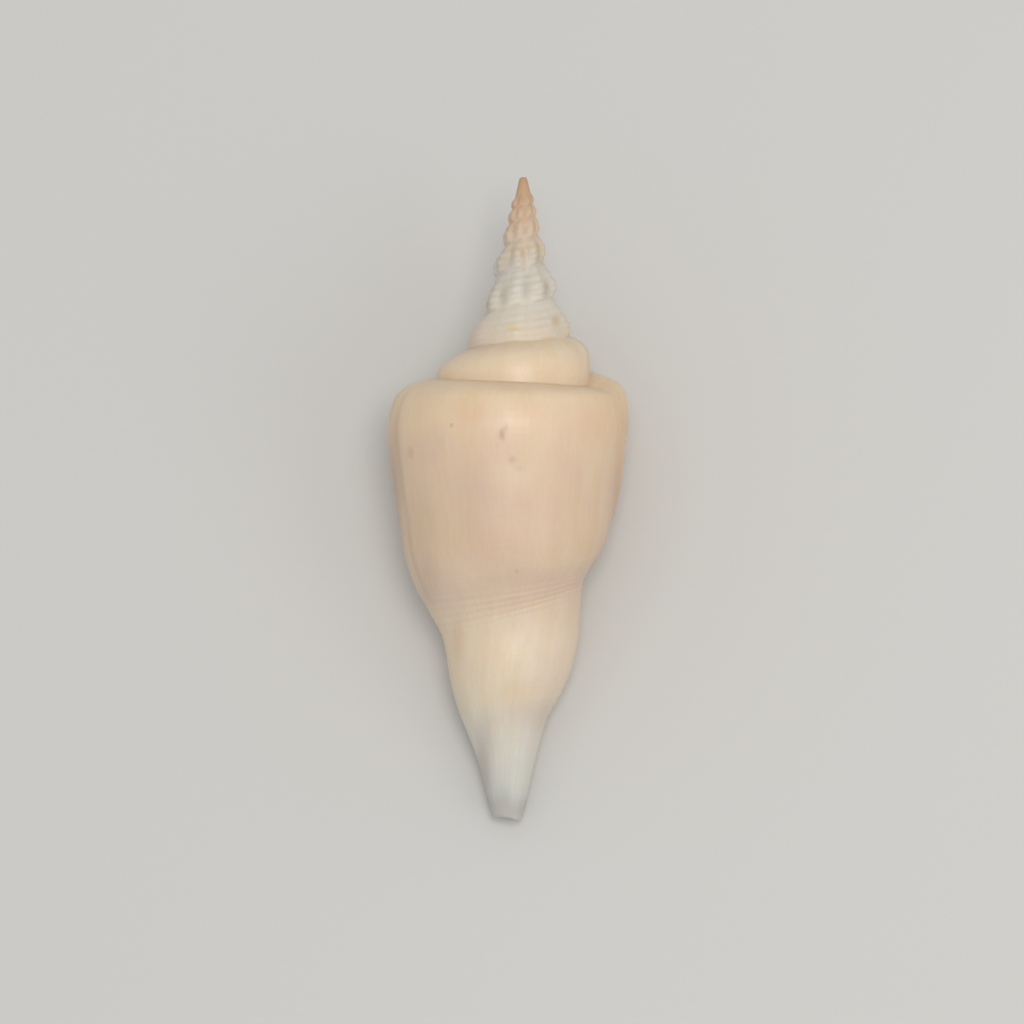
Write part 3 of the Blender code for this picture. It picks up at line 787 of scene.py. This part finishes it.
        # The grey in the gaps of the later whorls is partly a real stain and partly painted shade
        # between the ribs
        grey = zone(tree, *gap, (at.turn, -3.4, -3.0), (at.turn, -1.9, -2.3), strength=0.34)
        colour = add_node(tree, "Mix", warm, colour, linear(self.warm_gap_colour), data_type="RGBA")
        return add_node(tree, "Mix", grey, colour, linear(self.grey_gap_stain_and_shade_colour), data_type="RGBA")

    def material(self, sculpture: Sculpture) -> bpy.types.Material:
        """Builds the shell's material.

        Args:
            sculpture: The ribs, the callus and the scar, which the colours follow.

        Returns:
            The material. It reads the mesh's attributes for turn, station and side, and for the
            place on the shell's own axes.
        """
        made = bpy.data.materials.new("weathered_aragonite")
        made.use_nodes = True
        tree = made.node_tree
        shader = tree.nodes["Principled BSDF"]
        at = Places.read(tree)
        colour = self.aged(tree, at)

        # Clouds a few millimetres wide, yellowish to rosy, keep the cream from looking painted
        clouds = add_node(tree, "TexNoise", at.own, self.clouds_per_mm, 4.0)
        cloudy = add_node(tree, "Mix", zone(tree, (clouds, 0.34, 0.66)), linear("#FFFDF7"),
                          linear("#FDF8F9"), data_type="RGBA")
        colour = add_node(tree, "Mix", 1.0, colour, cloudy, data_type="RGBA", blend_type="MULTIPLY")
        for patch in self.patches:
            colour = patch.lay(tree, at, colour)

        # Growth bands 3 mm and hairlines 0.5 mm wide, which stay level with the lip
        turned = add_node(tree, "Math", at.turn, self.bands_per_turn, operation="MULTIPLY")
        slanted = add_node(tree, "Math", at.station, 0.22, operation="MULTIPLY")
        growth = add_node(tree, "CombineXYZ", turned, slanted)
        bands = add_node(tree, "TexNoise", growth, 1.0, 3.0)
        hairs = add_node(tree, "TexNoise", growth, self.hairs_per_band, 2.0)
        for lines, tone in ((bands, "#FCFAF6"), (hairs, "#FDFCFA")):
            tone_at = add_node(tree, "Mix", zone(tree, (lines, 0.35, 0.65)), linear(tone),
                               linear("#FFFFFF"), data_type="RGBA")
            colour = add_node(tree, "Mix", 1.0, colour, tone_at, data_type="RGBA", blend_type="MULTIPLY")

        colour = self.stained_and_shaded_gaps(tree, at, sculpture, colour)
        for speck in self.specks:
            colour = speck.lay(tree, at, colour)

        # Painted shade darkens the suture, the crease along the callus and the groove in the scar of an
        # old lip
        edge = add_node(tree, "MapRange", at.station, *sculpture.edge_stations, *sculpture.edge_turns,
                        interpolation_type="SMOOTHSTEP")
        past = add_node(tree, "Math", at.turn, edge, operation="SUBTRACT")
        scar = sculpture.scar_turn
        for mask in (
            zone(tree, (at.station, 1.0, 0.0), (at.turn, -1.0, -0.4), strength=0.28),
            zone(tree, (past, -0.02, 0.0), (past, 0.02, 0.0), (at.turn, -0.2, 0.0),
                 (at.station, 8.0, 6.0), strength=0.30),
            zone(tree, (at.turn, scar - 0.012, scar), (at.turn, scar + 0.012, scar),
                 (at.station, 2.0, 3.0), (at.station, 9.5, 7.5), strength=0.20),
        ):
            colour = add_node(tree, "Mix", mask, colour, linear(self.painted_shade_colour), data_type="RGBA")

        # The lip is paler than the back, the hollow white porcelain, the broken canal end grey
        for inside, tone in ((zone(tree, (at.side, 0.2, 0.4)), self.rim_colour),
                             (zone(tree, (at.side, 0.6, 0.9)), self.inside_colour),
                             (zone(tree, (at.station, 17.2, 18.0)), self.broken_colour)):
            colour = add_node(tree, "Mix", inside, colour, linear(tone), data_type="RGBA")
        tree.links.new(colour.outputs["Result"], shader.inputs["Base Color"])

        # Satin back with duller patches and a chalky spire, polished hollow and callus
        glazed = zone(tree, (past, 0.0, -0.03), (at.turn, -0.5, -0.37), (at.station, 8.5, 6.5))
        polished = add_node(tree, "Math", glazed, zone(tree, (at.side, 0.2, 0.9)), operation="MAXIMUM")
        chalky = zone(tree, (at.turn, -1.0, -2.0), strength=0.15)
        dull = add_node(tree, "Math", clouds, 0.14, self.roughness - 0.07, operation="MULTIPLY_ADD")
        dull = add_node(tree, "Math", dull, chalky, operation="ADD")
        dull = add_node(tree, "Mix", polished, dull, self.polish)
        tree.links.new(dull.outputs["Result"], shader.inputs["Roughness"])

        # Hairlines, fine spiral striae and a faint grain, finer than the mesh, catch the light
        striae = add_node(tree, "Math", at.station, TURN * self.striae_per_station,
                          operation="MULTIPLY")
        striae = add_node(tree, "Math", striae, operation="SINE")
        grain = add_node(tree, "TexNoise", at.own, self.grain_per_mm, 3.0)
        height = add_node(tree, "Math", grain, 0.4, hairs, operation="MULTIPLY_ADD")
        height = add_node(tree, "Math", striae, 0.10, height, operation="MULTIPLY_ADD")
        relief = add_node(tree, "Bump", 0.3, self.relief_height * MM, None, height)
        tree.links.new(relief.outputs[0], shader.inputs["Normal"])
        shader.inputs["IOR"].default_value = 1.53
        shader.inputs["Subsurface Weight"].default_value = 0.12
        shader.inputs["Subsurface Radius"].default_value = (1.0, 0.6, 0.35)
        shader.inputs["Subsurface Scale"].default_value = 0.0012
        return made


@dataclass(frozen=True)
class Shell:
    """The whole shell as one closed surface, with its finish."""

    coil: Coil = Coil()
    sculpture: Sculpture = Sculpture()
    hollow: Hollow = Hollow()
    lie: Lie = Lie()
    finish: ShellFinish = ShellFinish()
    columns: int = 216
    whorl_rows: int = 30
    lower_rows: int = 144
    corner_rows: int = 6
    slot_columella: float = 0.19
    slot_lip: float = 0.10
    slot_from: float = 8.0
    slot_over: float = 5.0
    crown: Curve = ((0.2, 0.99), (0.42, 0.95), (0.55, 0.83), (0.75, 0.45))
    apex: float = 35.0

    def stations(self, n: float, start: float, count: int) -> Array:
        """Stations from start to the canal's end, closer together over the corded bands.

        Args:
            n: Turn whose outline is measured.
            start: First station.
            count: Number of stations.

        Returns:
            Stations at even steps of the outline's length times a density.
        """
        fine = np.linspace(start, self.coil.last, 900)
        chain = np.stack(self.coil.outline(np.array(n), fine), axis=-1)
        density = 1.0 + 2.6 * hump(fine, 9.6, 1.1) + 1.0 * hump(fine, 14.0, 1.2)
        pieces = np.diff(lengths_along(chain)) * 0.5 * (density[1:] + density[:-1])
        length = np.concatenate([[0.0], np.cumsum(pieces)])
        return np.interp(np.linspace(0.0, length[-1], count), length, fine)

    def last_whorl(self) -> tuple[Array, Array, Array, Array]:
        """Turns, stations, radii and heights of the last whorl, each (rows, columns).

        Near its start the rows follow the spire's whorls, further on the outlines.
        """
        coil, sculpture, rows = self.coil, self.sculpture, self.whorl_rows + self.lower_rows
        u = (np.arange(self.whorl_rows + 1) / self.whorl_rows)[:, None]
        lower = self.stations(coil.start, coil.attach, self.lower_rows + 1)
        at_start = np.concatenate([coil.attach * u[:-1, 0], lower])
        at_lip = self.stations(coil.lip, 0.0, rows + 1)
        part = np.arange(self.columns + 1) / self.columns
        opened = self.slot_columella * ease((at_start - 8.0) / 5.0)
        turned = self.slot_lip * ease((at_lip - self.slot_from) / self.slot_over)
        n = coil.start + part + opened[:, None] * (1.0 - part) + turned[:, None] * part
        spread = ease(part / 0.45)
        t = at_start[:, None] * (1.0 - spread) + at_lip[:, None] * spread
        r, y = coil.outline(n, t)
        grown_r, grown_y = sculpture.callus(coil, n, t)
        r, y = r + grown_r + sculpture.relief(n, t), y + grown_y
        keep, whorl = 1.0 - ease(part / 0.25), self.whorl_rows
        whorl_r = r[0] + (r[whorl] - r[0]) * (1.0 - (1.0 - u) ** sculpture.grown_fullness)
        whorl_y = y[0] + (y[whorl] - y[0]) * u
        r[:whorl + 1] = keep * whorl_r + (1.0 - keep) * r[:whorl + 1]
        y[:whorl + 1] = keep * whorl_y + (1.0 - keep) * y[:whorl + 1]
        return n, t, r, y

    def surface(self) -> StripMesh:
        """Builds the closed surface: spire, last whorl, crown, hollow, lip and canal end."""
        coil, strip, whorl = self.coil, StripMesh(), self.whorl_rows
        n, t, r, y = self.last_whorl()
        last = strip.add_points(coil.place(n, r, y + self.sculpture.broken_edge(n, t)))
        last[0, -1] = last[whorl, 0]
        spire_columns = coil.spire_turns * self.columns
        u = (np.arange(whorl + 1) / whorl)[:, None]
        spire_n = np.broadcast_to(coil.first + np.arange(spire_columns + 1) / self.columns,
                                  (whorl + 1, spire_columns + 1))
        spire_r, spire_y = self.sculpture.whorl(coil, spire_n, u)
        made = strip.add_points(coil.place(spire_n, spire_r, spire_y)[:-1, :-1])
        top = np.concatenate([made[0], last[0]])
        spire = np.concatenate([made, top[None, self.columns:self.columns + spire_columns]])
        spire = np.concatenate([spire, last[:whorl + 1, :1]], axis=1)
        outside = np.full(spire_n.shape, Side.OUTSIDE.value)
        stations = np.broadcast_to(coil.attach * u, spire_n.shape)
        strip.add_grid(spire, np.stack([spire_n, stations, outside], axis=-1))
        strip.add_grid(last, np.stack([n, t, np.full(n.shape, Side.OUTSIDE.value)], axis=-1))
        self.add_crown(strip, spire)
        wall, core = self.add_hollow(strip, last, np.stack([n, r, y], axis=-1))
        rim = self.add_lip(strip, last, wall, n, t)
        ring = np.concatenate([last[-1], rim[1:], wall[-1], core[-1, -2:0:-1]])
        section = [Vector(p) for p in strip.all_points()[ring]]
        cells = np.array(tessellate_polygon([section]))
        strip.add_triangles(ring[cells], np.array([0.3, 18.0, Side.RIM.value]))
        return strip

    def add_crown(self, strip: StripMesh, spire: Array) -> None:
        """Closes the top with a blunt crown: rings drawn in towards the apex, then a fan."""
        ring = np.concatenate([spire[0, :self.columns + 1], spire[self.whorl_rows - 1:0:-1, 0]])
        edge = strip.all_points()[ring]
        tip = np.array([self.coil.spire_lean, self.apex, 0.0]) * MM
        rings = []
        for width, height in self.crown:
            drawn = tip + (edge - tip) * width
            drawn[:, 1] = edge[:, 1] + (tip[1] - edge[:, 1]) * height
            rings.append(strip.add_points(drawn))
        rows = np.stack([*rings, ring])
        rows = np.concatenate([rows, rows[:, :1]], axis=1)
        value = np.array([self.coil.first, 0.5, Side.OUTSIDE.value])
        strip.add_grid(rows, np.broadcast_to(value, rows.shape + (3,)))
        top = np.full(rows.shape[1] - 1, strip.add_points(tip[None, :])[0])
        strip.add_triangles(np.stack([top, rows[0, 1:], rows[0, :-1]], axis=-1), value)

    def add_hollow(self, strip: StripMesh, last: Array, shape: Array) -> tuple[Array, Array]:
        """Adds the two sheets of the hollow, which share their last column and their top row.

        Args:
            strip: The mesh.
            last: Point numbers of the last whorl.
            shape: Its turns, radii and heights, (rows, columns, 3).

        Returns:
            Point numbers of the wall's sheet and of the columella's sheet.
        """
        corner = self.whorl_rows + self.corner_rows
        start = shape[corner:, 0] + np.array([1.0, 0.0, 0.0])
        sheets = self.hollow.sheets(self.coil, start, shape[corner:, -1, 0])
        lost = [self.sculpture.broken_edge(s[..., 0], s[..., 3]) for s in sheets]
        wall_at, core_at = (self.coil.place(s[..., 0], s[..., 1], s[..., 2] + y)
                            for s, y in zip(sheets, lost))
        core = np.concatenate([last[corner:, :1], strip.add_points(core_at[:, 1:])], axis=1)
        wall = np.concatenate([core[:1, :-1], strip.add_points(wall_at[1:, :-1])])
        wall = np.concatenate([wall, core[:, -1:]], axis=1)
        for numbers, sheet in zip((wall, core), sheets):
            inside = np.full(sheet.shape[:2], Side.INSIDE.value)
            strip.add_grid(numbers, np.stack([sheet[..., 0], sheet[..., 3], inside], axis=-1))
        return wall, core

    def add_lip(self, strip: StripMesh, last: Array, wall: Array, n: Array, t: Array) -> Array:
        """Adds the lip: rows across its thickness, raised in growth direction as a half ellipse.

        Args:
            strip: The mesh.
            last: Point numbers of the last whorl.
            wall: Point numbers of the wall's inner sheet.
            n: Turns of the last whorl.
            t: Its stations.

        Returns:
            Point numbers across the lip at the canal's end, from outside to inside.
        """
        outer = last[:, -1]
        turned_in = last[self.whorl_rows:self.whorl_rows + self.corner_rows, 0]
        inner = np.concatenate([turned_in, wall[:, 0]])
        points = strip.all_points()
        far, near = lengths_along(points[inner]), lengths_along(points[outer])
        share = near / near[-1]
        across = [np.interp(share, far / far[-1], points[inner][:, k]) for k in range(3)]
        chord = np.stack(across, axis=-1) - points[outer]
        width = np.linalg.norm(chord, axis=1, keepdims=True)
        facing = np.cross(chord, np.gradient(points[outer], axis=0))
        facing = facing / np.maximum(np.linalg.norm(facing, axis=1, keepdims=True), 1e-12)
        angle = TURN * n[:, -1]
        ahead = np.stack([-np.sin(angle), 0.0 * angle, np.cos(angle)], axis=-1)
        facing = facing * np.sign((facing * ahead).sum(axis=1, keepdims=True))
        part = np.array([0.10, 0.28, 0.52, 0.76])[None, :, None]
        raised = 0.2 * np.sqrt(part * (1.0 - part)) * (width * ease(share / 0.03)[:, None])[:, None]
        rows = points[outer][:, None] + chord[:, None] * part + facing[:, None] * raised
        grid = np.concatenate([outer[:, None], strip.add_points(rows)], axis=1)
        grid[0] = outer[0]
        values = np.stack([n[:, -1], t[:, -1], np.full(angle.shape, Side.RIM.value)], axis=-1)
        strip.add_grid(grid, np.broadcast_to(values[:, None], grid.shape + (3,)))
        strip.add_band(grid[:, -1], inner, np.array([self.coil.lip, 6.0, Side.RIM.value]))
        return grid[-1]

    def build(self) -> bpy.types.Object:
        """Makes the shell, dresses it and puts it in place of its solid."""
        strip = self.surface()
        points = strip.all_points()
        made = strip.to_object("shell_surface", self.lie.lay(points), points / MM)
        made.data.materials.append(self.finish.material(self.sculpture))
        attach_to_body(made, "root")
        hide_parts("shell")
        LOG.info("%s: %d points, %d faces", made.name, len(made.data.vertices), len(made.data.polygons))
        return made


@dataclass(frozen=True)
class Softbox:
    """A square soft light: place and aim on the shell's own axes, metres and watts."""

    name: str
    place: tuple[float, float, float]
    size: float
    power: float
    colour: str

    def build(self, lie: Lie) -> None:
        """Hangs the light over the shell and aims it at the shell's middle."""
        data = bpy.data.lights.new(self.name, "AREA")
        data.shape, data.size, data.energy = "SQUARE", self.size, self.power
        data.color = linear(self.colour)[:3]
        made = bpy.data.objects.new(self.name, data)
        made.location = lie.matrix() @ Vector(self.place)
        back = made.location - lie.matrix().translation
        made.rotation_euler = back.to_track_quat("Z", "Y").to_euler()
        bpy.context.scene.collection.objects.link(made)


@dataclass(frozen=True)
class PaperFinish:
    """Uncoated background paper, rolled smooth: an even matt surface with no pattern to see."""

    colour: str = "#CFCDC9"
    roughness: float = 0.85

    def material(self) -> bpy.types.Material:
        """Builds the paper's material."""
        made = bpy.data.materials.new("pale_paper")
        made.use_nodes = True
        shader = made.node_tree.nodes["Principled BSDF"]
        shader.inputs["Base Color"].default_value = linear(self.colour)
        shader.inputs["Roughness"].default_value = self.roughness
        return made


@dataclass(frozen=True)
class Studio:
    """Pale floor, soft lights and the camera that looks straight at the shell's back."""

    lie: Lie = Lie()
    floor_size: float = 3.0
    paper: PaperFinish = PaperFinish()
    sky_colour: str = "#F4F5F7"
    sky_strength: float = 0.69
    lights: tuple[Softbox, ...] = (
        Softbox("key_softbox", (0.05, 0.09, 0.60), 0.22, 1.25, "#FFFDF9"),
        Softbox("fill_softbox", (0.38, -0.16, 0.42), 0.30, 0.30, "#FFFFFF"),
    )
    aim: tuple[float, float, float] = (-1.035, -1.47, 0.0)
    distance: float = 0.6
    lens: float = 193.7

    def floor(self) -> None:
        """Lays a level pale sheet under the shell."""
        half = 0.5 * self.floor_size
        corners = [(-half, -half, 0.0), (half, -half, 0.0), (half, half, 0.0), (-half, half, 0.0)]
        mesh = bpy.data.meshes.new("floor")
        mesh.from_pydata(corners, [], [(0, 1, 2, 3)])
        made = bpy.data.objects.new("floor", mesh)
        bpy.context.scene.collection.objects.link(made)
        mesh.materials.append(self.paper.material())

    def sky(self) -> None:
        """Surrounds the studio with an even soft glow."""
        world = bpy.data.worlds.new("studio_glow")
        world.use_nodes = True
        glow = world.node_tree.nodes["Background"]
        glow.inputs["Color"].default_value = linear(self.sky_colour)
        glow.inputs["Strength"].default_value = self.sky_strength
        bpy.context.scene.world = world

    def camera(self) -> None:
        """Sets a long lens square to the shell's back, with the spire up in the picture."""
        data = bpy.data.cameras.new("camera")
        data.sensor_width, data.lens = 36.0, self.lens
        made = bpy.data.objects.new("camera", data)
        move = self.lie.matrix()
        away = Vector((self.aim[0] * MM, self.aim[1] * MM, self.aim[2] * MM + self.distance))
        made.matrix_world = Matrix.Translation(move @ away) @ move.to_3x3().to_4x4()
        bpy.context.scene.collection.objects.link(made)
        bpy.context.scene.camera = made

    def build(self) -> None:
        """Sets up the floor, the glow, the lights and the camera."""
        self.floor()
        self.sky()
        for light in self.lights:
            light.build(self.lie)
        self.camera()
        bpy.context.scene.view_settings.view_transform = "Standard"
        LOG.info("studio: %d softboxes, lens %.1f mm", len(self.lights), self.lens)


def main() -> None:
    """Builds the shell, then the studio round it."""
    logging.basicConfig(level=logging.INFO, format="%(message)s")
    Studio().build()
    Shell().build()


if __name__ == "__main__":
    main()
